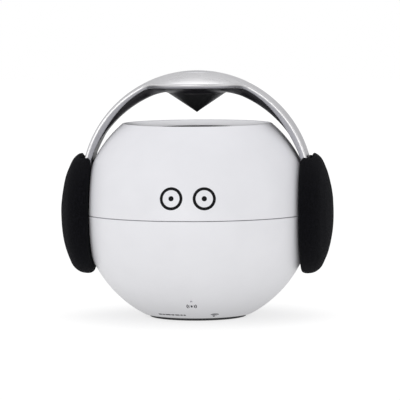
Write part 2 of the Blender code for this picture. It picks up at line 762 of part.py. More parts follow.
# driver: the moving group shares an empty on the driver's axis
piece("driver_frame", driver_frame_mesh(), steel, speaker)
piece("driver_magnet", driver_magnet_mesh(), steel, speaker)
piece("driver_surround", surround_mesh(), rubber, speaker)
piece("driver_gasket", gasket_mesh(), rubber, speaker)
driver_axis = empty("driver_axis", shift(0, 0, 80.3), speaker)
for name, mesh, mat in (("diaphragm", diaphragm_mesh(), paper),
                        ("dust_cap", dust_cap_mesh(), paper),
                        ("voice_coil", voice_coil_mesh(), copper)):
    piece(name, at(mesh, shift(0, 0, -80.3)), mat, driver_axis)
for k in range(4):
    a = math.radians(45 + 90 * k)
    mesh = at(screw(1.9, 1.1, 0.8, 4.6), Matrix.Rotation(math.pi, 4, "X"))
    piece(f"driver_screw_{k + 1}",
          at(mesh, shift(DRIVER_SCREW_R * math.cos(a), DRIVER_SCREW_R * math.sin(a), 79.8)),
          steel, speaker,
          (DRIVER_SCREW_R * math.cos(a), DRIVER_SCREW_R * math.sin(a), 79.8))

# headband
piece("headband_cover", cover_mesh(), silver, speaker)
piece("headband_liner", liner_mesh(), liner_black, speaker)
piece("deflector_cone", cone_mesh(), cone_black, speaker)
piece("crown_disc", crown_disc_mesh(), silver, speaker)
piece("cone_screw", at(screw(2.0, 0.5, 0.9, 9.0), shift(0, 0, BAND_Z + BAND_R - 1.4)),
      steel, speaker, (0, 0, BAND_Z + BAND_R - 1.4))

# ear pads and what holds them; right is +X
for side, word, first in ((1, "right", 1), (-1, "left", 3)):
    piece(f"ear_cup_{word}", ear_cup_mesh(side), dark_plastic, speaker,
          (side * CUP_X0, 0, BALL_Z))
    piece(f"ear_foam_{word}", ear_foam_mesh(side), foam, speaker,
          (side * CUP_X0, 0, BALL_Z))
    piece(f"cup_screw_{word}", at(cup_screw_mesh(side), shift(0, 0, BALL_Z)), steel,
          speaker, (side * CUP_X1, 0, BALL_Z))
    piece(f"nut_plate_{word}", nut_plate_mesh(side), steel, speaker)
    for n, dz in ((first, TAB_SCREW_DZ), (first + 1, -TAB_SCREW_DZ)):
        piece(f"arm_screw_{n}", at(arm_screw_mesh(side), shift(0, 0, BALL_Z + dz)),
              steel, speaker, (side * TAB_OUT_X, 0, BALL_Z + dz))

# rear panel: coordinates are (right, up, outward) on the tilted facet
piece("rear_panel", rear_panel_mesh(), panel_grey, rear)
piece("io_board", io_board_mesh(), board, rear)
for k, side in enumerate((1, -1)):
    mesh = at(screw(1.7, 0.9, 0.7, 4.9),
              Matrix.Rotation(math.pi, 4, "X"))
    piece(f"io_screw_{k + 1}", at(mesh, shift(side * BOSS_U, 0, 39.5)), steel, rear,
          (side * BOSS_U, 0, 39.5))
for n, (word, u) in enumerate(zip(("button_volume_down", "button_play",
                                   "button_volume_up"), BUTTON_U)):
    piece(word, at(button_mesh(), shift(u, BUTTON_V, 0)), button_white, rear,
          (u, BUTTON_V, 44.3))
    piece(f"tact_switch_{n + 1}", at(tact_switch_mesh(), shift(u, BUTTON_V, 0)),
          dark_plastic, rear, (u, BUTTON_V, 41.3))
piece("usb_socket", at(usb_mesh(), shift(USB_U, SOCKET_V, 0)), steel, rear,
      (USB_U, SOCKET_V, 41.3))
piece("aux_socket", at(aux_mesh(), shift(AUX_U, SOCKET_V, 0)), dark_plastic, rear,
      (AUX_U, SOCKET_V, 41.3))
piece("switch_base", at(box(-4.4, 4.4, -2.0, 2.0, 41.3, 43.3), shift(0, SOCKET_V, 0)),
      steel, rear, (0, SOCKET_V, 41.3))
piece("switch_knob", at(knob_mesh(), shift(SWITCH_U0, SOCKET_V, 0)), dark_plastic, rear,
      (SWITCH_U0, SOCKET_V, 43.6))
piece("status_lens", at(lathe([(0, 43.2), (1.5, 43.2), (1.5, 44.2), (0.9, 44.2),
                               (0.9, 49.0), (0.6, 49.2), (0, 49.25)], 10),
                        shift(-4.8, 0.3, 0)), lens, rear, (-4.8, 0.3, 43.2))

# electronics inside the lower shell
piece("main_pcb", main_pcb_mesh(), board, speaker)
for k in range(3):
    a = math.radians(90 + 120 * k)
    x, y = POST_R * math.cos(a), POST_R * math.sin(a)
    piece(f"pcb_screw_{k + 1}", at(screw(1.7, 1.0, 0.7, 6.2), shift(x, y, 11.8)),
          steel, speaker, (x, y, 11.8))
piece("battery_cradle", battery_cradle_mesh(), dark_plastic, speaker)
piece("battery_cell", prism(rounded(28, 20, 1.0), 4.4, 9.6), foil, speaker)
piece("radio_module", box(-8, 8, 0, 12, 11.8, 14.4), steel, speaker)
piece("amplifier_chip", box(-4, 4, -14, -6, 11.8, 13.2), dark_plastic, speaker)
piece("mic_capsule", at(cylinder(2.0, 48.4, 50.2, 12), shift(0, 0, BALL_Z) @ MIC_AXIS),
      steel, speaker)
wire("driver_lead", [(-15.4, 4, 65), (-20, 4, 60), (-26, 3, 48), (-29, 2, 34),
                     (-25, 1, 20), (-20, 0, 15), (-18, 0, 12.2)], 0.7, wire_red, speaker)
wire("battery_lead", [(15.4, 0, 6.2), (20, 0, 6.4), (26, 0, 7.4), (29, 0, 10.6),
                      (26.5, 0, 14.2), (22, 0, 14.6), (19.5, 0, 12.2)], 0.6, wire_red,
     speaker)
wire("io_lead", [(6, 33.2, 26.6), (6, 30.5, 24.5), (6, 27.5, 19), (6, 23, 14.5),
                 (6, 19.5, 12.2)], 0.6, wire_red, speaker)
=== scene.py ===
"""Looks of a ball-shaped desktop speaker with a headphone-style band.

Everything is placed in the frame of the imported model: metres, +Z up, -Y front,
ear pads on +X and -X. Lengths in the helpers below are millimetres.
"""

import json
import math

import bmesh
import bpy
from mathutils import Matrix, Vector, noise


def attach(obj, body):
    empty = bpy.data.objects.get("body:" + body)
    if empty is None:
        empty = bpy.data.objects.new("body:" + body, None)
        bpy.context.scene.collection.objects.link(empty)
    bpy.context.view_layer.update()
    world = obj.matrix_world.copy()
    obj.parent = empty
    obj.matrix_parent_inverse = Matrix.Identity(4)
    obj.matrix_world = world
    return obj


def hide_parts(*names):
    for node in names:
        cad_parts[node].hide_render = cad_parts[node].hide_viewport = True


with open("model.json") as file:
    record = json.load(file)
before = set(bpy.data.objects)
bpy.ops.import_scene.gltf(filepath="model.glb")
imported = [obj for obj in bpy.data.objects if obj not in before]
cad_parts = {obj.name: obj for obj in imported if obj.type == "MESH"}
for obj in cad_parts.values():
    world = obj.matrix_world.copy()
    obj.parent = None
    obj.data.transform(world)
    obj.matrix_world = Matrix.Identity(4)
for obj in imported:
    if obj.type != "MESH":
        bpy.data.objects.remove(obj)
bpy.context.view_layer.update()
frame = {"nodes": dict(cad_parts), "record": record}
NODES = frame["nodes"]
BODY = "speaker_body"
MM = 0.001

# ------------------------------------------------------------ key dimensions
BALL_R, BALL_Z, WALL, FLAT_X = 53.1, 48.2, 2.2, 47.6
RIM_Z, BASE_Z, SEAM = 88.8, 0.75, 0.3
SEAM_Z = BALL_Z - 0.5
REAR_TILT, REAR_D = math.radians(26), 49.3
PANEL_W, PANEL_H, PANEL_R = 36.0, 17.0, 5.0
BAND_R, BAND_Z, COVER_T = 53.5, 59.5, 2.2
CROWN_R, ARM_W = 24.0, 10.0
INNER_R, INNER_Z, ARM_IN_X = 52.67, 52.9, 47.9
ARM_END = 76.0
TAB_X = BAND_R * math.sin(math.radians(ARM_END))
CONE_TIP_Z, CONE_SLOPE, CONE_R = 93.9, 0.672, 12.9
DISC_R = 8.4
GRILLE_Z, GRILLE_T, GRILLE_R = 85.9, 0.8, 19.8

REAR = Matrix.Translation((0, 0, BALL_Z * MM)) @ Matrix((
    (-1, 0, 0, 0),
    (0, math.sin(REAR_TILT), math.cos(REAR_TILT), 0),
    (0, math.cos(REAR_TILT), -math.sin(REAR_TILT), 0),
    (0, 0, 0, 1)))


# ------------------------------------------------------------------ materials
class Shader:
    """A Principled material with small helpers for procedural inputs."""

    def __init__(self, name, color, rough=0.5, metal=0.0, **fixed):
        self.mat = bpy.data.materials.new(name)
        self.mat.use_nodes = True
        self.tree = self.mat.node_tree
        self.bsdf = self.tree.nodes["Principled BSDF"]
        self.color = color
        self.bsdf.inputs["Base Color"].default_value = (*color, 1)
        self.bsdf.inputs["Roughness"].default_value = rough
        self.bsdf.inputs["Metallic"].default_value = metal
        for key, value in fixed.items():
            self.bsdf.inputs[key.replace("_", " ")].default_value = value
        self.mat.diffuse_color = (*color, 1)
        self.height = None

    def node(self, kind, **values):
        n = self.tree.nodes.new(kind)
        for key, value in values.items():
            if key in n.inputs:
                n.inputs[key].default_value = value
            else:
                setattr(n, key, value)
        return n

    def link(self, a, b):
        self.tree.links.new(a, b)

    def coords(self, scale=(1, 1, 1)):
        tex = self.node("ShaderNodeTexCoord")
        mapping = self.node("ShaderNodeMapping")
        mapping.inputs["Scale"].default_value = scale
        self.link(tex.outputs["Object"], mapping.inputs["Vector"])
        return mapping.outputs["Vector"]

    def noise(self, size_mm, detail=3.0, rough=0.55, stretch=(1, 1, 1)):
        """Noise whose grain is about size_mm across."""
        k = 1000.0 / size_mm
        n = self.node("ShaderNodeTexNoise", Detail=detail, Roughness=rough)
        n.inputs["Scale"].default_value = k
        self.link(self.coords(stretch), n.inputs["Vector"])
        return n.outputs["Fac"]

    def ramp(self, fac, stops):
        n = self.node("ShaderNodeValToRGB")
        els = n.color_ramp.elements
        while len(els) < len(stops):
            els.new(0.5)
        for el, (pos, col) in zip(els, stops):
            el.position = pos
            el.color = (*col, 1) if len(col) == 3 else col
        self.link(fac, n.inputs["Fac"])
        return n.outputs["Color"]

    def vary_color(self, fac, dark, light, lo=0.3, hi=0.7):
        self.link(self.ramp(fac, [(lo, dark), (hi, light)]),
                  self.bsdf.inputs["Base Color"])

    def vary_rough(self, fac, low, high, lo=0.3, hi=0.7):
        n = self.node("ShaderNodeMapRange")
        n.inputs["From Min"].default_value = lo
        n.inputs["From Max"].default_value = hi
        n.inputs["To Min"].default_value = low
        n.inputs["To Max"].default_value = high
        self.link(fac, n.inputs["Value"])
        self.link(n.outputs["Result"], self.bsdf.inputs["Roughness"])

    def bump(self, fac, height_mm, strength=1.0):
        n = self.node("ShaderNodeBump")
        n.inputs["Strength"].default_value = strength
        n.inputs["Distance"].default_value = height_mm * MM
        self.link(fac, n.inputs["Height"])
        if self.height is not None:
            self.link(self.height, n.inputs["Normal"])
        self.height = n.outputs["Normal"]
        self.link(self.height, self.bsdf.inputs["Normal"])


def tint(color, k):
    return tuple(min(1.0, c * k) for c in color)


def moulded(name, color, rough=0.42, grain=0.35, bump=0.012, **fixed):
    """Injection-moulded plastic: fine spark-eroded grain, faint flow mottling."""
    s = Shader(name, color, rough, **fixed)
    s.vary_color(s.noise(14, 2), tint(color, 0.985), tint(color, 1.012))
    s.vary_rough(s.noise(3.0, 4), rough - 0.05, rough + 0.06)
    s.bump(s.noise(grain, 4, 0.6), bump, 0.5)
    return s.mat


def brushed(name, color, rough=0.3, **fixed):
    """Satin metal with fine lines that run along the band, faint handling marks."""
    s = Shader(name, color, rough, 1.0, **fixed)
    lines = s.noise(0.22, 3, 0.6, (0.02, 1, 0.02))
    s.vary_color(s.noise(9, 3), tint(color, 0.965), tint(color, 1.02))
    s.vary_rough(s.noise(1.4, 4, 0.6, (0.12, 1, 0.12)), rough - 0.05, rough + 0.07)
    s.bump(lines, 0.006, 0.35)
    return s.mat


def foam_material(name):
    """Open-cell foam: irregular dark cells between slightly lighter walls."""
    s = Shader(name, (0.006, 0.006, 0.007), 0.95, Specular_IOR_Level=0.08)
    cells = s.node("ShaderNodeTexVoronoi", feature="DISTANCE_TO_EDGE")
    cells.inputs["Scale"].default_value = 1000 / 0.75
    warp = s.node("ShaderNodeTexNoise", Detail=2.0)
    warp.inputs["Scale"].default_value = 900
    mix = s.node("ShaderNodeMix", data_type="RGBA", blend_type="ADD")
    mix.inputs[0].default_value = 0.0006
    base = s.coords()
    s.link(base, warp.inputs["Vector"])
    s.link(base, mix.inputs[6])
    s.link(warp.outputs["Color"], mix.inputs[7])
    s.link(mix.outputs[2], cells.inputs["Vector"])
    walls = s.ramp(cells.outputs["Distance"], [(0.02, (1, 1, 1)), (0.22, (0, 0, 0))])
    blend = s.node("ShaderNodeMix", data_type="RGBA")
    s.link(walls, blend.inputs[0])
    blend.inputs[6].default_value = (0.0012, 0.0012, 0.0016, 1)
    blend.inputs[7].default_value = (0.0056, 0.0056, 0.0075, 1)
    s.link(blend.outputs[2], s.bsdf.inputs["Base Color"])
    s.bsdf.inputs["Sheen Weight"].default_value = 0.008
    s.bsdf.inputs["Sheen Roughness"].default_value = 0.6
    s.bsdf.inputs["Sheen Tint"].default_value = (0.8, 0.85, 1.0, 1)
    s.bump(walls, 0.14, 0.7)
    s.bump(s.noise(4.0, 3), 0.12, 0.4)
    return s.mat


WHITE = moulded("shell_white", (0.82, 0.82, 0.845), 0.40)
# the dish's own white, set lighter than the shell's: painted light for the light from above on
# its upturned slope
DISH_WHITE_AND_PAINTED_LIGHT = moulded("dish_white", (0.90, 0.90, 0.92), 0.45)
PANEL = moulded("panel_white", (0.74, 0.74, 0.765), 0.46, 0.5, 0.02)
KEYS = moulded("button_grey", (0.66, 0.66, 0.69), 0.40)
SILVER = brushed("band_silver", (0.73, 0.725, 0.73), 0.30)
LIP_PAINTED_SHADE = Shader("lip_silver_painted_shade", (0.40, 0.40, 0.425), 0.4, 1.0).mat      # side faces of the lip: the band's own silver, darkened as painted shade for the dark reflection they show
DISC = brushed("disc_silver", (0.66, 0.66, 0.675), 0.26)
LINER = moulded("liner_black", (0.016, 0.015, 0.018), 0.34, 0.5, 0.006,
                Specular_IOR_Level=0.35)
CONE = moulded("cone_black", (0.018, 0.018, 0.019), 0.42, 0.4, 0.01)
GRILLE = moulded("grille_black", (0.016, 0.016, 0.018), 0.62, 0.3, 0.02,
                 Specular_IOR_Level=0.15)
FOAM = foam_material("foam_black")
RUBBER = moulded("rubber_black", (0.028, 0.028, 0.030), 0.75, 0.6, 0.03)
DARK = moulded("dark_plastic", (0.035, 0.035, 0.038), 0.5)
PRINT = moulded("print_black", (0.006, 0.006, 0.007), 0.6, 0.3, 0.004,
                Specular_IOR_Level=0.1)
PRINT_GREY = moulded("print_grey", (0.055, 0.055, 0.062), 0.6, 0.3, 0.004,
                     Specular_IOR_Level=0.15)
PAPER = moulded("cone_paper", (0.035, 0.035, 0.036), 0.85, 0.9, 0.08)


def steel_material():
    s = Shader("steel", (0.55, 0.55, 0.57), 0.32, 1.0)
    s.vary_color(s.noise(4, 3), (0.50, 0.50, 0.52), (0.60, 0.60, 0.62))
    s.vary_rough(s.noise(1.0, 4), 0.25, 0.42)
    s.bump(s.noise(0.3, 3), 0.01, 0.4)
    return s.mat


def board_material():
    s = Shader("board_green", (0.03, 0.17, 0.08), 0.4)
    s.vary_color(s.noise(1.6, 2, 0.5, (1, 0.25, 1)), (0.018, 0.12, 0.055),
                 (0.035, 0.20, 0.095), 0.45, 0.55)
    s.vary_rough(s.noise(0.8, 3), 0.3, 0.5)
    s.bump(s.noise(0.6, 3), 0.03, 0.5)
    return s.mat


def copper_material():
    s = Shader("coil_copper", (0.70, 0.33, 0.16), 0.35, 1.0)
    turns = s.node("ShaderNodeTexWave", wave_type="BANDS", bands_direction="Z")
    turns.inputs["Scale"].default_value = 900
    s.link(s.coords(), turns.inputs["Vector"])
    s.vary_color(turns.outputs["Fac"], (0.45, 0.19, 0.08), (0.78, 0.40, 0.20))
    s.bump(turns.outputs["Fac"], 0.08, 0.8)
    return s.mat


def foil_material():
    s = Shader("battery_foil", (0.55, 0.57, 0.62), 0.35, 0.8)
    s.vary_color(s.noise(5, 3), (0.48, 0.50, 0.55), (0.60, 0.62, 0.66))
    s.bump(s.noise(2.5, 4, 0.65), 0.15, 0.5)
    return s.mat


def lens_material():
    s = Shader("status_lens", (0.72, 0.82, 0.92), 0.12, Transmission_Weight=0.35,
               IOR=1.49)
    s.vary_rough(s.noise(0.5, 2), 0.10, 0.20)
    return s.mat


def wire_material():
    s = Shader("wire_red", (0.42, 0.03, 0.03), 0.45)
    s.vary_color(s.noise(3, 2), (0.36, 0.02, 0.02), (0.46, 0.04, 0.035))
    s.bump(s.noise(0.4, 2), 0.01, 0.4)
    return s.mat


STEEL, BOARD, COPPER = steel_material(), board_material(), copper_material()
FOIL, LENS, WIRE = foil_material(), lens_material(), wire_material()
BY_SLOT = {
    "shell_white": WHITE, "dish_white": DISH_WHITE_AND_PAINTED_LIGHT, "grille_black": GRILLE,
    "band_silver": SILVER, "liner_black": LINER, "cone_black": CONE,
    "foam_black": FOAM, "rubber_black": RUBBER, "panel_white": PANEL,
    "button_grey": KEYS, "steel": STEEL, "dark_plastic": DARK, "board_green": BOARD,
    "battery_foil": FOIL, "cone_paper": PAPER, "coil_copper": COPPER,
    "status_lens": LENS, "wire_red": WIRE,
}
for part in frame["record"]["subparts"]:
    node = NODES[part["node"]]
    node.data.materials.clear()
    node.data.materials.append(BY_SLOT[part["material_slot"]])


# ------------------------------------------------------------- mesh helpers
def mesh_of(verts, faces, name="shape"):
    mesh = bpy.data.meshes.new(name)
    mesh.from_pydata([(x * MM, y * MM, z * MM) for x, y, z in verts], [], faces)
    return outward(mesh)


def outward(mesh):
    bm = bmesh.new()
    bm.from_mesh(mesh)
    bmesh.ops.recalc_face_normals(bm, faces=bm.faces)
    if bm.calc_volume(signed=True) < 0:
        bmesh.ops.reverse_faces(bm, faces=bm.faces)
    bm.to_mesh(mesh)
    bm.free()
    return mesh


def lathe(profile, segs, loop=False, move=None):
    """Turns (radius, z) points round Z. move(index, x, y, z) may shift a point."""
    verts, rings, faces = [], [], []
    for i, (r, z) in enumerate(profile):
        if r < 1e-6:
            rings.append([len(verts)])
            verts.append((0.0, 0.0, z))
            continue
        rings.append(list(range(len(verts), len(verts) + segs)))
        for k in range(segs):
            a = 2 * math.pi * k / segs
            p = (r * math.cos(a), r * math.sin(a), z)
            verts.append(move(i, *p) if move else p)
    pairs = list(zip(rings, rings[1:]))
    if loop:
        pairs.append((rings[-1], rings[0]))
    for low, high in pairs:
        for k in range(segs):
            n = (k + 1) % segs
            if len(low) == 1:
                faces.append((low[0], high[n], high[k]))
            elif len(high) == 1:
                faces.append((low[k], low[n], high[0]))
            else:
                faces.append((low[k], low[n], high[n], high[k]))
    return mesh_of(verts, faces)


def loft(sections):
    n = len(sections[0])
    verts = [p for s in sections for p in s]
    faces = [tuple(range(n)), tuple(range(len(verts) - n, len(verts)))]
    for i in range(len(sections) - 1):
        for k in range(n):
            m = (k + 1) % n
            faces.append((i * n + k, i * n + m, (i + 1) * n + m, (i + 1) * n + k))
    return mesh_of(verts, faces)


def prism(outline, z0, z1):
    n = len(outline)
    verts = [(x, y, z0) for x, y in outline] + [(x, y, z1) for x, y in outline]
    faces = [tuple(range(n)), tuple(range(n, 2 * n))]
    faces += [(k, (k + 1) % n, n + (k + 1) % n, n + k) for k in range(n)]
    return mesh_of(verts, faces)


def rounded(w, h, r, steps=8, cx=0.0, cy=0.0):
    points = []
    for sx, sy, start in ((1, 1, 0), (-1, 1, 90), (-1, -1, 180), (1, -1, 270)):
        for k in range(steps + 1):
            a = math.radians(start + 90 * k / steps)
            points.append((cx + sx * (w / 2 - r) + r * math.cos(a),
                           cy + sy * (h / 2 - r) + r * math.sin(a)))
    return points


def circle(r, segs, cx=0.0, cy=0.0, turn=0.0):
    return [(cx + r * math.cos(2 * math.pi * (k + turn) / segs),
             cy + r * math.sin(2 * math.pi * (k + turn) / segs)) for k in range(segs)]


def merge(*meshes):
    """Puts separate closed shapes into one mesh."""
    bm = bmesh.new()
    for m in meshes:
        bm.from_mesh(m)
    out = bpy.data.meshes.new("merged")
    bm.to_mesh(out)
    bm.free()
    return out


def moved(mesh, matrix):
    mesh.transform(matrix)
    return mesh


def shift(x=0.0, y=0.0, z=0.0):
    return Matrix.Translation((x * MM, y * MM, z * MM))


def boolean(mesh, tool, operation="DIFFERENCE"):
    a = bpy.data.objects.new("work", mesh)
    b = bpy.data.objects.new("tool", tool)
    for obj in (a, b):
        bpy.context.scene.collection.objects.link(obj)
    step = a.modifiers.new("step", "BOOLEAN")
    step.operation = operation
    step.solver = "EXACT"
    step.object = b
    graph = bpy.context.evaluated_depsgraph_get()
    result = bpy.data.meshes.new_from_object(a.evaluated_get(graph))
    bpy.data.objects.remove(a, do_unlink=True)
    bpy.data.objects.remove(b, do_unlink=True)
    return result


def piece(name, mesh, mat, nodes=(), body=BODY, smooth=32, bevel=0.0, segs=2,
          limit=35):
    """A visible piece that rides on a CAD body and stands for the named nodes."""
    mesh.name = name
    mesh.materials.clear()
    mesh.materials.append(mat)
    mesh.shade_smooth()
    mesh.set_sharp_from_angle(angle=math.radians(smooth))
    obj = bpy.data.objects.new(name, mesh)
    bpy.context.scene.collection.objects.link(obj)
    if bevel:
        add_bevel(obj, bevel, segs, limit)
    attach(obj, body)
    if nodes:
        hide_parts(*nodes)
    return obj


def add_bevel(obj, width, segs=2, limit=35):
    mod = obj.modifiers.new("edge", "BEVEL")
    mod.width = width * MM
    mod.segments = segs
    mod.limit_method = "ANGLE"
    mod.angle_limit = math.radians(limit)
    mod.harden_normals = False
    mod.use_clamp_overlap = True


# --------------------------------------------------------------- ball shells
def arc(cx, cz, r, a0, a1, n):
    """Points (radius, z) on an arc, degrees from the +r direction."""
    return [(cx + r * math.cos(math.radians(a0 + (a1 - a0) * k / n)),
             cz + r * math.sin(math.radians(a0 + (a1 - a0) * k / n)))
            for k in range(n + 1)]


def ball_arc(r, z0, z1, n):
    a0, a1 = (math.degrees(math.asin((z - BALL_Z) / r)) for z in (z0, z1))
    return arc(0, BALL_Z, r, a0, a1, n)


SEGS = 192
RINGS = 56


def keep_inside(outer_count, inner_from):
    """Presses the side flats into a turned ball: outside and inside surfaces."""
    n = Vector((0, math.cos(REAR_TILT), -math.sin(REAR_TILT)))

    def move(i, x, y, z):
        if i < outer_count:
            return (max(-FLAT_X, min(FLAT_X, x)), y, z)
        if i >= inner_from:
            lim = FLAT_X - WALL
            x = max(-lim, min(lim, x))
            p = Vector((x, y, z - BALL_Z))
            over = p.dot(n) - (REAR_D - WALL)
            if over > 0:
                p -= over * n
            return (p.x, p.y, p.z + BALL_Z)
        return (x, y, z)
    return move


def lower_shell():
    top = SEAM_Z - SEAM / 2
    base = BASE_Z + 0.5
    outer = [(0, base), (9, base), (18.4, base), (18.4, base + 0.5),
             (22.6, base + 0.5), (22.6, base)] \
        + arc(24.3, base + 0.4, 0.4, -90, -62, 3) \
        + ball_arc(BALL_R, base + 0.12, top - 0.35, RINGS) \
        + arc(BALL_R - 0.28, top - 0.28, 0.28, 10, 90, 4)
    inner = [(BALL_R - WALL + 0.2, top)] \
        + ball_arc(BALL_R - WALL, BASE_Z + WALL, top - 0.2, 18)[::-1] \
        + [(0, BASE_Z + WALL)]
    mesh = lathe(outer + inner, SEGS, move=keep_inside(len(outer), len(outer)))
    # rear facet: cut flat, then the window for the panel and the microphone hole
    n = REAR.to_3x3() @ Vector((0, 0, 1))
    point = REAR @ Vector((0, 0, REAR_D * MM))
    bm = bmesh.new()
    bm.from_mesh(mesh)
    done = bmesh.ops.bisect_plane(bm, geom=bm.verts[:] + bm.edges[:] + bm.faces[:],
                                  dist=1e-7, plane_co=point, plane_no=n,
                                  clear_outer=True)
    rim = [v for v in done["geom_cut"] if isinstance(v, bmesh.types.BMVert)]
    inverse = REAR.inverted()

    def turn(v):
        p = inverse @ v.co
        return math.atan2(p.y, p.x)
    rim.sort(key=turn)
    bm.faces.new(rim)
    bmesh.ops.recalc_face_normals(bm, faces=bm.faces)
    bm.to_mesh(mesh)
    bm.free()
    window = moved(prism(rounded(PANEL_W + 0.6, PANEL_H + 0.6, PANEL_R + 0.3, 10),
                         REAR_D - 6, REAR_D + 6), REAR)
    mic_axis = Matrix.Rotation(math.atan2(37.3, 10.3 - BALL_Z), 4, "X")
    hole = moved(prism(circle(0.6, 24, turn=0.37), 46, 58), shift(0, 0, BALL_Z) @ mic_axis)
    return boolean(mesh, merge(window, hole))


def upper_shell():
    low = SEAM_Z + SEAM / 2
    seat_r, seat_z = 33.6, RIM_Z - 1.9
    outer = arc(BALL_R - 0.28, low + 0.28, 0.28, -90, -10, 4) \
        + ball_arc(BALL_R, low + 0.35, RIM_Z - 0.22, RINGS) \
        + arc(34.12, RIM_Z - 0.16, 0.16, 35, 90, 3) \
        + arc(seat_r + 0.14, RIM_Z - 0.14, 0.14, 90, 180, 3) \
        + [(seat_r, seat_z), (29.5, seat_z), (29.5, 84.5)]
    inner = ball_arc(BALL_R - WALL, low + 0.2, 84.5, 16)[::-1] \
        + [(BALL_R - WALL, low)]
    shell = lathe(outer + inner, SEGS, loop=True,
                  move=keep_inside(len(outer), len(outer)))

    def clamp(i, x, y, z):
        return (max(-44.9, min(44.9, x)), y, z)
    tongue = lathe([(49.2, BALL_Z - 2.5), (50.5, BALL_Z - 2.5), (50.5, BALL_Z + 0.5),
                    (51.4, BALL_Z + 0.5), (51.4, BALL_Z + 3), (49.2, BALL_Z + 3)],
                   96, loop=True, move=clamp)
    return shell, tongue


piece("lower_shell_fine", lower_shell(), WHITE, ("lower_shell",), smooth=28)
shell, tongue = upper_shell()
piece("upper_shell_fine", shell, WHITE, ("upper_shell",), smooth=28)
piece("seam_tongue", tongue, WHITE)

foot = [(18.7, 0.35)] + arc(19.05, 0.35, 0.35, 180, 270, 4) \
    + arc(21.95, 0.35, 0.35, -90, 0, 4) + [(22.3, 1.45), (18.7, 1.45)]
piece("foot_ring_fine", lathe(foot, 128, loop=True), RUBBER,
      ("foot_ring",))


# ------------------------------------------------------------ dish and grille
def dish_ring():
    top, base = RIM_Z - 0.2, GRILLE_Z + GRILLE_T + 0.15
    slope = []
    for k in range(1, 25):
        t = k / 24
        slope.append((20.3 + (33.0 - 20.3) * t, base + (top - base) * t ** 1.6))
    profile = arc(33.12, top - 0.18, 0.18, 80, 0, 3) + [(33.3, RIM_Z - 1.6),
               (29.2, RIM_Z - 1.6), (29.2, 82.5), (17.8, 82.5), (17.8, 85.6),
               (20.1, 85.6)] + arc(20.3, base - 0.2, 0.2, 180, 100, 3) + slope
    return lathe(profile, 160, loop=True)


def perforated_disc():
    """Pressed sheet: a hexagonal field of round holes, one twelve-sided hole to
    each hexagon of metal, held in a plain rim."""
    pitch, hole, field = ((1.62, 0.54, 18.75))
    verts, faces, found = [], [], {}

    def vert(x, y, z):
        key = (round(x, 3), round(y, 3), round(z, 3))
        if key not in found:
            found[key] = len(verts)
            verts.append((x, y, z))
        return found[key]
    side = pitch / math.sqrt(3)
    rows = int(field / (pitch * 0.866)) + 2
    z1, z0 = GRILLE_Z + GRILLE_T - 0.05, GRILLE_Z + 0.25
    for j in range(-rows, rows + 1):
        for i in range(-rows * 2, rows * 2 + 1):
            cx = (i + 0.5 * (j % 2)) * pitch
            cy = j * pitch * math.sqrt(3) / 2
            if math.hypot(cx, cy) > field:
                continue
            outer, inner = [], []
            for k in range(12):
                a = math.radians(30 * k + 30)
                r = side if k % 2 == 0 else side * math.cos(math.pi / 6)
                outer.append((cx + r * math.cos(a), cy + r * math.sin(a)))
                inner.append((cx + hole * math.cos(a), cy + hole * math.sin(a)))
            open_hole = math.hypot(cx, cy) < 17.6
            for z, flip in ((z1, False), (z0, True)):
                for k in range(12):
                    m = (k + 1) % 12
                    quad = [vert(*outer[k], z), vert(*outer[m], z),
                            vert(*inner[m], z), vert(*inner[k], z)]
                    faces.append(tuple(quad[::-1] if flip else quad))
                if not open_hole:
                    ring = [vert(*p, z) for p in inner]
                    faces.append(tuple(ring[::-1] if flip else ring))
            if open_hole:
                for k in range(12):
                    m = (k + 1) % 12
                    faces.append((vert(*inner[k], z1), vert(*inner[m], z1),
                                  vert(*inner[m], z0), vert(*inner[k], z0)))
    mesh = mesh_of(verts, faces)
    bm = bmesh.new()
    bm.from_mesh(mesh)
    edges = [e for e in bm.edges if len(e.link_faces) == 1]
    bmesh.ops.bridge_loops(bm, edges=edges)
    bmesh.ops.recalc_face_normals(bm, faces=bm.faces)
    bm.to_mesh(mesh)
    bm.free()
    return mesh


piece("dish_ring_fine", dish_ring(), DISH_WHITE_AND_PAINTED_LIGHT, ("dish_ring",))
piece("top_grille_fine", perforated_disc(), GRILLE, ("top_grille",),
      smooth=25)
rim = [(17.9, GRILLE_Z + 0.2), (19.8, GRILLE_Z), (19.8, GRILLE_Z + GRILLE_T - 0.15)] \
    + arc(19.65, GRILLE_Z + GRILLE_T - 0.15, 0.15, 0, 90, 3) \
    + arc(18.05, GRILLE_Z + GRILLE_T - 0.12, 0.12, 90, 180, 3)
piece("grille_rim", lathe(rim, 128, loop=True), GRILLE, ("top_grille",))


# ----------------------------------------------------------------- headband
def band_half_width(deg):
    a = math.radians(min(abs(deg), 89.0))
    s2 = (CROWN_R / BAND_R) ** 2
    val = (s2 - math.sin(a) ** 2) / math.cos(a) ** 2
    crown = BAND_R * math.copysign(math.sqrt(abs(val)), val)
    k = 7.0
    if crown < ARM_W - k:
        return ARM_W
    h = min(max(0.5 + 0.5 * (crown - ARM_W) / k, 0.0), 1.0)
    return ARM_W + (crown - ARM_W) * h + k * h * (1 - h)


def band_thickness(deg):
    a = math.radians(abs(deg))
    low = (BAND_Z - INNER_Z) * math.cos(a)
    rho = -low + math.sqrt(low ** 2 + INNER_R ** 2 - (BAND_Z - INNER_Z) ** 2)
    if a > 0.5:
        rho = min(rho, ARM_IN_X / math.sin(a))
    return BAND_R - rho


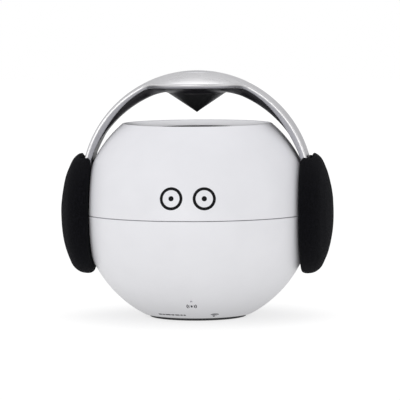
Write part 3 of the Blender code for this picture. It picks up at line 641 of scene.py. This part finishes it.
def stations(step, ends, inset=0.0):
    """Cross-section frames from one arm tip over the crown to the other."""
    half = []
    n = max(2, int(round(ARM_END / step)))
    for k in range(n + 1):
        deg = ARM_END * k / n
        half.append(((0.0, BAND_Z), deg, band_half_width(deg) - inset,
                     band_thickness(deg)))
    cx = TAB_X - BAND_R
    z_top = BAND_Z + BAND_R * math.cos(math.radians(ARM_END))
    total = TAB_X - ARM_IN_X
    fine = []
    points = [(z_top, ends[0][1])] + [e for e in ends]
    for (z0, w0), (z1, w1) in zip(points, points[1:]):
        m = max(1, int(round((z0 - z1) / 2.0)))
        for k in range(1, m + 1):
            t = k / m
            fine.append(((cx, z0 + (z1 - z0) * t), 90.0, w0 + (w1 - w0) * t, total))
    return half, fine


def mirror_station(s):
    (cx, cz), deg, w, total = s
    return ((-cx, cz), -deg, w, total)


def band_point(station, across, depth):
    (cx, cz), deg, w, _ = station
    a = math.radians(deg)
    psi = math.asin(max(-1.0, min(1.0, across * w / BAND_R)))
    r = BAND_R - depth
    return (cx + r * math.sin(a) * math.cos(psi), r * math.sin(psi),
            cz + r * math.cos(a) * math.cos(psi))


COVER_ENDS = ((70.0, ARM_W), (60.0, ARM_W), (42.0, ARM_W), (37.0, 8.6), (34.5, 5.5))
LINER_ENDS = ((70.0, ARM_W - 1.2), (60.0, ARM_W - 1.2), (42.5, ARM_W - 1.2),
              (38.0, 7.4), (35.5, 4.5))


def full_run(step, ends, inset=0.0):
    half, tab = stations(step, ends, inset)
    right = half + tab
    left = [mirror_station(s) for s in right][::-1]
    return left[:-1] + right


def lip_depth(station):
    (cx, _), deg, w, total = station
    t = min(max((abs(deg) - 30.0) / 55.0, 0.0), 1.0)
    lip = 2.25 + (total - 0.15 - 2.25) * t * t * (3 - 2 * t)
    if abs(deg) > 74:
        reach = math.sin(math.radians(abs(deg))) * math.sqrt(1 - (w / BAND_R) ** 2)
        lip = min(lip, BAND_R - (ARM_IN_X + abs(cx)) / reach)
    return lip


def band_cover():
    """Silver cover: a channel whose edges roll over into a plain lip."""
    run = full_run(1.5, COVER_ENDS)
    sections = []
    top_r, low_r = 0.75, 0.35
    for s in run:
        w, lip = s[2], lip_depth(s)
        edge = [(w - top_r + top_r * math.sin(math.radians(15 * k)),
                 top_r * (1 - math.cos(math.radians(15 * k)))) for k in range(1, 6)]
        edge += [(w, top_r), (w, 1.05), (w, lip - low_r)]
        edge += [(w - low_r + low_r * math.cos(math.radians(22.5 * k)),
                  lip - low_r + low_r * math.sin(math.radians(22.5 * k)))
                 for k in range(1, 5)]
        edge += [(w - 0.85, lip), (w - 0.9, COVER_T)]
        flat = (w - top_r) / w
        section = [band_point(s, -flat + 2 * flat * k / 12, 0.0) for k in range(13)]
        section += [band_point(s, u / w, d) for u, d in edge]
        section += [band_point(s, (w - 0.9) * (1 - 2 * k / 6) / w, COVER_T)
                    for k in range(1, 6)]
        section += [band_point(s, -u / w, d) for u, d in edge[::-1]]
        sections.append(section)
    mesh = loft(sections)
    floor = BAND_R - 0.8
    seat = [((DISC_R + 0.3) * k / 10,
             BAND_Z + math.sqrt(floor ** 2 - ((DISC_R + 0.3) * k / 10) ** 2))
            for k in range(11)]
    tools = [lathe(seat + [(DISC_R + 0.3, BAND_Z + BAND_R + 2),
                           (0, BAND_Z + BAND_R + 2)], 96)]
    mesh = boolean(mesh, merge(*tools))
    bore = lathe([(0, 105), (1.3, 105), (1.3, BAND_Z + BAND_R - 1.7),
                  (2.4, BAND_Z + BAND_R - 1.7), (2.4, 116), (0, 116)], 32)
    return boolean(mesh, merge(bore, *side_holes()))


def side_holes():
    """Screw holes through both arms: two for the shell, one for the ear cup."""
    tools = []
    for side in (1, -1):
        across = Matrix.Rotation(math.radians(90 * side), 4, "Y")
        for z in (BALL_Z - 8, BALL_Z, BALL_Z + 8):
            tools.append(moved(prism(circle(1.3, 24, turn=0.5), 44, 60),
                               shift(0, 0, z) @ across))
    return tools


def band_liner():
    """Black under-strip. Its underside runs into the cone below the crown."""
    run = full_run(1.5, LINER_ENDS, 1.2)
    sections = []
    for s in run:
        _, deg, w, total = s
        section = []
        top = COVER_T + 0.3
        for k in range(0, 17):
            a = -1 + 2 * k / 16
            section.append(band_point(s, a, top))
        for k in range(16, -1, -1):
            a = -1 + 2 * k / 16
            bottom = top + 0.5 + (total - top - 0.5) * (1 - abs(a) ** 4)
            x, y, z = band_point(s, a, bottom)
            if abs(deg) < 40:
                z = under_z(x, y, z)
            section.append((x, y, z))
        sections.append(section)
    mesh = loft(sections)
    core = lathe([(0, 90), (CONE_R + 0.3, 90), (CONE_R + 0.3, 120), (0, 120)], 96)
    return boolean(mesh, merge(core, *side_holes()))


def under_z(x, y, z):
    k = 1.6
    cone = CONE_TIP_Z + CONE_SLOPE * math.hypot(x, y)
    h = min(max(0.5 + 0.5 * (cone - z) / k, 0.0), 1.0)
    return cone + (z - cone) * h - k * h * (1 - h)


def crown_disc():
    def dome(r, depth):
        return BAND_Z + math.sqrt((BAND_R - depth) ** 2 - r * r)
    under = [(DISC_R * k / 12, dome(DISC_R * k / 12, 0.5)) for k in range(13)]
    top = [((DISC_R - 0.3) * k / 14, dome((DISC_R - 0.3) * k / 14, 0.02))
           for k in range(15)]
    edge = [(DISC_R, dome(DISC_R, 0.3)), (DISC_R - 0.04, dome(DISC_R, 0.16)),
            (DISC_R - 0.14, dome(DISC_R, 0.06))]
    return lathe(under + edge + top[::-1], 128)


def deflector_cone():
    tip = 0.4
    z0 = CONE_TIP_Z + 0.05
    profile = [(0, z0)] + [(tip * math.sin(math.radians(a)),
                            z0 + tip * 0.5 * (1 - math.cos(math.radians(a))))
                           for a in (20, 40, 60)]
    for k in range(1, 22):
        r = 0.6 + (CONE_R - 0.6) * k / 21
        profile.append((r, CONE_TIP_Z + CONE_SLOPE * r))
    profile += [(CONE_R, 108.0), (1.3, 108.0), (1.3, 101.0), (0, 101.0)]
    return lathe(profile, 160)


cover = piece("headband_cover_fine", band_cover(), SILVER,
              ("headband_cover",), smooth=40)
cover.data.materials.append(LIP_PAINTED_SHADE)
for face in cover.data.polygons:            # painted shade: the lip's side faces get the darker silver
    p, n = face.center * 1000, face.normal
    tab = p.z < BAND_Z + BAND_R * math.cos(math.radians(ARM_END))
    c = Vector((-math.copysign(BAND_R - TAB_X, p.x), 0, p.z)) if tab else \
        Vector((0, 0, BAND_Z))
    out = p - c
    depth = BAND_R - out.length
    if depth > 1.0 and n.y * math.copysign(1, p.y) > 0.5 and \
            abs(n.dot(out.normalized())) < 0.6:
        face.material_index = 1
piece("crown_disc_fine", crown_disc(), DISC, ("crown_disc",), smooth=50)
piece("headband_liner_fine", band_liner(), LINER, ("headband_liner",),
      smooth=45)
piece("deflector_cone_fine", deflector_cone(), CONE,
      ("deflector_cone",), smooth=40)


# ----------------------------------------------------------------- ear pads
FOAM_PROFILE = [(0.0, 62.8), (7.8, 62.3), (13.3, 61.4), (18.0, 60.2), (21.6, 58.7),
                (24.4, 57.3), (26.2, 55.5), (27.3, 53.4), (27.6, 51.4), (27.6, 49.8),
                (27.2, 48.4), (26.4, 47.75)]


PAD_Z, PAD_GROW = BALL_Z - 0.55, 1.02


def smooth_curve(points, steps):
    """A Catmull-Rom curve through (r, x) points."""
    ext = [(-points[1][0], points[1][1])] + points \
        + [(points[-1][0] * 2 - points[-2][0], points[-1][1] * 2 - points[-2][1])]
    out = []
    for i in range(1, len(ext) - 2):
        p0, p1, p2, p3 = (Vector(p) for p in ext[i - 1:i + 3])
        for k in range(steps):
            t = k / steps
            out.append(0.5 * (2 * p1 + (p2 - p0) * t + (2 * p0 - 5 * p1 + 4 * p2 - p3) * t * t
                              + (3 * p1 - p0 - 3 * p2 + p3) * t ** 3))
    out.append(Vector(points[-1]))
    return [(max(0.0, p.x), p.y) for p in out]


def ear_foam(side):
    outer = smooth_curve(FOAM_PROFILE, 4)
    inner = [(25.2, 47.7), (19.4, 47.7), (19.0, 48.2), (19.0, 53.15), (22.4, 53.15),
             (22.4, 56.0), (0.0, 56.0)]
    mesh = lathe(outer + inner, 128)
    # a slot for the arm runs from the middle of the pad upward, open at the top
    across = Matrix.Rotation(math.radians(90), 4, "Y")
    if side < 0:
        across = Matrix.Rotation(math.radians(-90), 4, "Y")
    grow = Matrix.Diagonal((1.0, PAD_GROW, PAD_GROW, 1.0))
    body = moved(mesh, shift(0, 0, PAD_Z) @ grow @ across)
    x0, x1 = (44, 53.15) if side > 0 else (-53.15, -44)
    w = ARM_W + 0.3
    block = mesh_of([(x, y, z) for x in (x0, x1) for y in (-w, w)
                     for z in (BALL_Z + 14, BALL_Z + 40)],
                    [(0, 1, 3, 2), (4, 6, 7, 5), (0, 4, 5, 1), (2, 3, 7, 6),
                     (0, 2, 6, 4), (1, 5, 7, 3)])
    return boolean(body, block)


def soften(obj, voxel, smooth_steps, seed):
    """Remeshes a foam pad evenly, rounds its edges and gives it a fine grain."""
    mod = obj.modifiers.new("remesh", "REMESH")
    mod.mode = "VOXEL"
    mod.voxel_size = voxel * MM
    graph = bpy.context.evaluated_depsgraph_get()
    mesh = bpy.data.meshes.new_from_object(obj.evaluated_get(graph))
    obj.modifiers.clear()
    bm = bmesh.new()
    bm.from_mesh(mesh)
    for _ in range(smooth_steps):
        bmesh.ops.smooth_vert(bm, verts=bm.verts, factor=0.5, use_axis_x=True,
                              use_axis_y=True, use_axis_z=True)
    bm.normal_update()
    off = Vector((seed, 0, 0))
    for v in bm.verts:
        p = v.co * 1000
        coarse = noise.noise(p * 0.11 + off) * 0.10
        fine = noise.noise(p * 1.3 + off * 2) * 0.05
        v.co += v.normal * (coarse + fine - 0.12) * MM
    bm.to_mesh(mesh)
    bm.free()
    old = obj.data
    obj.data = mesh
    mesh.materials.clear()
    mesh.materials.append(FOAM)
    mesh.shade_smooth()
    bpy.data.meshes.remove(old)


for side, word, seed in ((1, "right", 3.7), (-1, "left", 11.2)):
    pad = bpy.data.objects.new(f"ear_foam_{word}_fine", ear_foam(side))
    bpy.context.scene.collection.objects.link(pad)
    pad.data.materials.append(FOAM)
    soften(pad, 0.7, 5, seed)
    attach(pad, BODY)
    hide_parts(f"ear_foam_{word}")


# --------------------------------------------------------- printed marks
def on_ball(azimuth, x, z, lift):
    """A point on the ball. azimuth in degrees from -Y toward +X, x is a sideways
    distance in millimetres and z a height, both along the surface."""
    r = math.sqrt(max(BALL_R ** 2 - (z - BALL_Z) ** 2, 1.0))
    a = math.radians(azimuth) + x / r
    k = (BALL_R + lift) / BALL_R
    return (r * k * math.sin(a), -r * k * math.cos(a), BALL_Z + (z - BALL_Z) * k)


def decal(outline_pairs, azimuth, z0, tilt, thick=0.05, base=0.015):
    """Thin inlay on the ball from strips of (outer, inner) points in the local
    plane; local v runs up along the meridian."""
    verts, faces = [], []
    n = len(outline_pairs)
    closed = outline_pairs[0][2] if len(outline_pairs[0]) > 2 else False

    def place(u, v, lift):
        lat = math.asin((z0 - BALL_Z) / BALL_R) + v / BALL_R
        r = BALL_R * math.cos(lat)
        a = math.radians(azimuth) + u / max(BALL_R * math.cos(
            math.asin((z0 - BALL_Z) / BALL_R)), 1.0)
        k = (BALL_R + lift) / BALL_R
        return (r * k * math.sin(a), -r * k * math.cos(a),
                BALL_Z + BALL_R * math.sin(lat) * k)
    for pair in outline_pairs:
        for point in pair[:2]:
            verts.append(place(*point, thick))
            verts.append(place(*point, base - 0.06))
    last = n if closed else n - 1
    for i in range(last):
        j = (i + 1) % n
        a, b, c, d = 4 * i, 4 * i + 1, 4 * i + 2, 4 * i + 3
        e, f, g, h = 4 * j, 4 * j + 1, 4 * j + 2, 4 * j + 3
        faces += [(a, e, g, c), (b, d, h, f), (a, b, f, e), (c, g, h, d)]
    if not closed:
        faces += [(0, 2, 3, 1), (4 * n - 4, 4 * n - 3, 4 * n - 1, 4 * n - 2)]
    return mesh_of(verts, faces)


def ring_marks(outer, inner, cu=0.0, cv=0.0, a0=0.0, a1=360.0, n=64):
    closed = abs(a1 - a0) >= 360
    out = []
    for k in range(n if closed else n + 1):
        a = math.radians(a0 + (a1 - a0) * k / n)
        c, s = math.cos(a), math.sin(a)
        out.append(((cu + outer * c, cv + outer * s), (cu + inner * c, cv + inner * s),
                    closed))
    return out


def disc_marks(r, cu=0.0, cv=0.0, n=40):
    return ring_marks(r, 0.02, cu, cv, 0, 360, n)


def stroke(points, width):
    """A line of marks of an even width through local points."""
    out = []
    for i, (u, v) in enumerate(points):
        a = points[max(i - 1, 0)]
        b = points[min(i + 1, len(points) - 1)]
        d = math.hypot(b[0] - a[0], b[1] - a[1]) or 1.0
        nx, ny = -(b[1] - a[1]) / d * width / 2, (b[0] - a[0]) / d * width / 2
        out.append(((u + nx, v + ny), (u - nx, v - ny), False))
    return out


def straight(u0, v0, u1, v1, width, n=6):
    return stroke([(u0 + (u1 - u0) * k / n, v0 + (v1 - v0) * k / n)
                   for k in range(n + 1)], width)


EYE_Z = BALL_Z + 9.6
for word, az in (("left", -8.15), ("right", 8.15)):
    marks = [decal(ring_marks(5.15, 3.85), az, EYE_Z, 0),
             decal(disc_marks(1.15), az, EYE_Z, 0)]
    piece(f"eye_{word}", merge(*marks), PRINT, smooth=60)

# microphone mark: a capsule with sound arcs on both sides
MIC_Z = 7.9
mic = [decal(stroke([(0, -0.75), (0, -0.4), (0, 0.0), (0, 0.4), (0, 0.75)], 0.8), 0, MIC_Z, 0)]
for a in (0, 180):
    for r in (1.35, 2.15):
        mic.append(decal(ring_marks(r + 0.2, r - 0.2, 0, 0, a - 38, a + 38, 10), 0, MIC_Z, 0))
piece("mic_mark", merge(*mic), PRINT_GREY, smooth=60)

# lower front: a row of plain dashes on one side, spreading arcs on the other
LOW_Z = 3.15
dashes = [decal(straight(1.15 * u, 0, 1.15 * (u + w), 0, 0.95), -20.9, LOW_Z, 0)
          for u, w in ((-5.8, 1.5), (-3.9, 1.0), (-2.5, 2.2), (0.1, 1.2), (1.7, 1.8),
                       (3.9, 0.9), (5.2, 0.8))]
piece("foot_dashes", merge(*dashes), PRINT_GREY, smooth=60)
arcs = [decal(disc_marks(0.5, 0, -1.2, 20), 20.1, LOW_Z, 0)] + \
    [decal(ring_marks(r + 0.28, r - 0.28, 0, -1.2, 42, 138, 14), 20.1, LOW_Z, 0)
     for r in (1.35, 2.35)]
piece("signal_mark", merge(*arcs), PRINT_GREY, smooth=60)


# -------------------------------------------------------------- rear controls
def rear(mesh):
    return moved(mesh, REAR)


def rear_panel():
    d1, d0 = REAR_D - 0.3, REAR_D - WALL - 0.3
    plate = prism(rounded(PANEL_W, PANEL_H, PANEL_R, 12), d0 - 0.4, d1)
    plate = boolean(plate, prism(rounded(PANEL_W + 1.6, PANEL_H + 1.6, PANEL_R + 2.4, 12),
                                 d0 - 1.2, d0), "UNION")
    tools = [prism(circle(3.1, 48, u, 3.6, 0.5), 42, 52) for u in (-9.5, 0.0, 9.5)]
    tools.append(prism(rounded(6.2, 2.6, 0.5, 5, 0, -3.9), 42, 52))
    tools.append(prism(rounded(8.4, 3.8, 1.2, 8, -8.7, -3.9), 42, 52))
    tools.append(prism(circle(3.4, 48, 8.7, -3.9, 0.5), 42, 52))
    tools.append(prism(circle(1.2, 24, -4.8, 0.3, 0.5), 42, 52))
    bosses = []
    for side in (1, -1):
        tools.append(prism(circle(1.0, 20, side * 15.0, 0, 0.5), 40, 45.2))
        bosses.append(prism(circle(1.9, 24, side * 15.0, 0), 41.3, d0 - 0.6))
    plate = boolean(plate, merge(*bosses), "UNION")
    return rear(boolean(plate, merge(*tools)))


piece("rear_panel_fine", rear_panel(), PANEL, ("rear_panel",),
      bevel=0.22, segs=3, limit=50, smooth=40)


def key_cap(u):
    profile = [(0, 43.9), (1.1, 43.9), (1.1, 44.3), (3.6, 44.3), (3.6, 45.1), (2.8, 45.1),
               (2.8, 49.35)] + arc(2.4, 49.35, 0.4, 0, 90, 6) \
        + [(1.9, 49.72), (1.2, 49.68), (0, 49.66)]
    return rear(moved(lathe(profile, 64), shift(u, 3.6, 0)))


def symbol(parts, u):
    solids = [moved(prism(outline, 49.5, 49.745), shift(u, 3.6, 0)) for outline in parts]
    return rear(merge(*solids))


def bar(w, h):
    return [(-w / 2, -h / 2), (w / 2, -h / 2), (w / 2, h / 2), (-w / 2, h / 2)]


minus = [bar(1.9, 0.34)]
plus = [[(-0.95, -0.17), (-0.17, -0.17), (-0.17, -0.95), (0.17, -0.95), (0.17, -0.17),
         (0.95, -0.17), (0.95, 0.17), (0.17, 0.17), (0.17, 0.95), (-0.17, 0.95),
         (-0.17, 0.17), (-0.95, 0.17)]]
play = [[(-0.65, -0.8), (0.8, 0.0), (-0.65, 0.8)]]
for word, u, parts, body in (("volume_down", -9.5, minus, "volume_down_key"),
                             ("play", 0.0, play, "play_key"),
                             ("volume_up", 9.5, plus, "volume_up_key")):
    piece(f"button_{word}_fine", key_cap(u), KEYS, (f"button_{word}",),
          body=body)
    piece(f"symbol_{word}", symbol(parts, u), PRINT_GREY, body=body)

# the small parts that keep their CAD shape get rounded edges
for name, width in (("switch_knob", 0.14), ("usb_socket", 0.12), ("aux_socket", 0.18),
                    ("ear_cup_left", 0.2), ("ear_cup_right", 0.2),
                    ("arm_screw_1", 0.12), ("arm_screw_2", 0.12), ("arm_screw_3", 0.12),
                    ("arm_screw_4", 0.12), ("cup_screw_left", 0.12),
                    ("cup_screw_right", 0.12)):
    add_bevel(bpy.data.objects[name], width, 2, 40)


# --------------------------------------------------------- stage and camera
scene = bpy.context.scene
view = scene.view_settings
view.view_transform = "Standard"
view.look = "None"
view.exposure = 0.0
view.gamma = 1.0

floor_mesh = mesh_of([(-3000, -3000, -0.02), (3000, -3000, -0.02), (3000, 3000, -0.02),
                      (-3000, 3000, -0.02)], [(0, 1, 2, 3)])
if floor_mesh.polygons[0].normal.z < 0:
    floor_mesh.flip_normals()
floor_look = Shader("floor_white", (0.9, 0.9, 0.9), 0.9)
floor_look.bsdf.inputs["Specular IOR Level"].default_value = 0.0
ft = floor_look.tree
f_out = ft.nodes["Material Output"]
f_glow = floor_look.node("ShaderNodeEmission", Color=(1, 1, 1, 1), Strength=1.05)
f_mix = ft.nodes.new("ShaderNodeMixShader")
f_soft = floor_look.node("ShaderNodeEmission", Color=(1, 1, 1, 1), Strength=0.56)
f_path = ft.nodes.new("ShaderNodeLightPath")
f_pick = ft.nodes.new("ShaderNodeMixShader")
# painted shade: the glow that light rays see on the floor is dimmed close to the ball,
# standing for the shade beneath it
f_painted_shade = ft.nodes.new("ShaderNodeMapRange")
f_painted_shade.interpolation_type = "SMOOTHSTEP"
f_painted_shade.inputs["From Min"].default_value = 0.018
f_painted_shade.inputs["From Max"].default_value = 0.075
f_painted_shade.inputs["To Min"].default_value = 0.52
f_painted_shade.inputs["To Max"].default_value = 0.84
f_geo = ft.nodes.new("ShaderNodeNewGeometry")
f_len = ft.nodes.new("ShaderNodeVectorMath")
f_len.operation = "LENGTH"
f_map = ft.nodes.new("ShaderNodeMapRange")
f_map.interpolation_type = "SMOOTHSTEP"
f_map.inputs["From Min"].default_value = 0.030
f_map.inputs["From Max"].default_value = 0.085
f_map.inputs["To Min"].default_value = 0.62
f_map.inputs["To Max"].default_value = 1.0
ft.links.new(f_geo.outputs["Position"], f_len.inputs[0])
ft.links.new(f_len.outputs["Value"], f_map.inputs["Value"])
ft.links.new(f_map.outputs["Result"], f_mix.inputs["Fac"])
ft.links.new(floor_look.bsdf.outputs[0], f_mix.inputs[1])
ft.links.new(f_glow.outputs[0], f_mix.inputs[2])
ft.links.new(f_len.outputs["Value"], f_painted_shade.inputs["Value"])
ft.links.new(f_painted_shade.outputs["Result"], f_soft.inputs["Strength"])
ft.links.new(f_path.outputs["Is Camera Ray"], f_pick.inputs["Fac"])
ft.links.new(f_soft.outputs[0], f_pick.inputs[1])
ft.links.new(f_mix.outputs[0], f_pick.inputs[2])
ft.links.new(f_pick.outputs[0], f_out.inputs["Surface"])
floor_mesh.materials.append(floor_look.mat)
floor = bpy.data.objects.new("floor", floor_mesh)
scene.collection.objects.link(floor)

world = bpy.data.worlds.new("studio")
scene.world = world
world.use_nodes = True
wt = world.node_tree
wt.nodes.clear()
w_out = wt.nodes.new("ShaderNodeOutputWorld")
w_mix = wt.nodes.new("ShaderNodeMixShader")
w_cam = wt.nodes.new("ShaderNodeBackground")
w_cam.inputs["Color"].default_value = (1, 1, 1, 1)
w_cam.inputs["Strength"].default_value = 1.0
w_light = wt.nodes.new("ShaderNodeBackground")
w_path = wt.nodes.new("ShaderNodeLightPath")
w_coord = wt.nodes.new("ShaderNodeTexCoord")
w_split = wt.nodes.new("ShaderNodeSeparateXYZ")
w_ramp = wt.nodes.new("ShaderNodeValToRGB")
w_map = wt.nodes.new("ShaderNodeMapRange")
w_map.inputs["From Min"].default_value = -1.0
w_map.inputs["From Max"].default_value = 1.0
links = wt.links.new
links(w_coord.outputs["Generated"], w_split.inputs[0])
links(w_split.outputs["Z"], w_map.inputs["Value"])
links(w_map.outputs["Result"], w_ramp.inputs["Fac"])
links(w_ramp.outputs["Color"], w_light.inputs["Color"])
w_front = wt.nodes.new("ShaderNodeMapRange")
w_front.interpolation_type = "SMOOTHSTEP"
w_front.inputs["From Min"].default_value = -0.35
w_front.inputs["From Max"].default_value = 0.35
w_front.inputs["To Min"].default_value = 0.98
w_front.inputs["To Max"].default_value = 0.90
links(w_split.outputs["Y"], w_front.inputs["Value"])
links(w_front.outputs["Result"], w_light.inputs["Strength"])
links(w_path.outputs["Is Camera Ray"], w_mix.inputs["Fac"])
links(w_light.outputs[0], w_mix.inputs[1])
links(w_cam.outputs[0], w_mix.inputs[2])
links(w_mix.outputs[0], w_out.inputs["Surface"])
ramp = w_ramp.color_ramp
ramp.elements[0].position, ramp.elements[0].color = 0.0, (0.70, 0.70, 0.72, 1)
ramp.elements[1].position, ramp.elements[1].color = 1.0, (0.80, 0.80, 0.82, 1)
for pos, v in ((0.47, 0.54), (0.56, 0.62), (0.75, 0.80)):
    e = ramp.elements.new(pos)
    e.color = (v, v, v * 1.02, 1)


def area(name, location, target, power, size, size_y=None):
    data = bpy.data.lights.new(name, "AREA")
    data.energy = power
    data.shape = "RECTANGLE"
    data.size = size
    data.size_y = size_y or size
    obj = bpy.data.objects.new(name, data)
    scene.collection.objects.link(obj)
    obj.location = location
    obj.rotation_euler = (Vector(target) - Vector(location)).to_track_quat(
        "-Z", "Y").to_euler()
    return obj


area("front", (-0.22, -1.20, 0.14), (0, 0, 0.04), 3.1, 0.8, 0.5)
area("key", (-1.00, -0.50, 0.75), (0, 0, 0.06), 0.8, 0.7)
area("left", (-1.30, 0.05, 0.35), (0, 0, 0.06), 0.6, 0.8)
area("fill", (1.10, -0.45, 0.30), (0, 0, 0.06), 0.9, 0.8)
area("top", (0.0, 0.30, 1.1), (0, 0, 0.08), 1.8, 0.8)

azimuth, distance, height = math.radians(4.85), 1.366, 0.157
camera_data = bpy.data.cameras.new("camera")
camera_data.lens = 267.8
camera_data.sensor_width = 36
camera_data.clip_end = 20
camera = bpy.data.objects.new("camera", camera_data)
scene.collection.objects.link(camera)
camera.location = (distance * math.sin(azimuth), -distance * math.cos(azimuth), height)
right = Vector((math.cos(azimuth), math.sin(azimuth), 0))
target = Vector((0, 0, 0.0533)) + right * 0.00115
look = (target - camera.location).to_track_quat("-Z", "Y").to_matrix().to_4x4()
camera.rotation_euler = (look @ Matrix.Rotation(math.radians(-0.35), 4, "Z")).to_euler()
scene.camera = camera
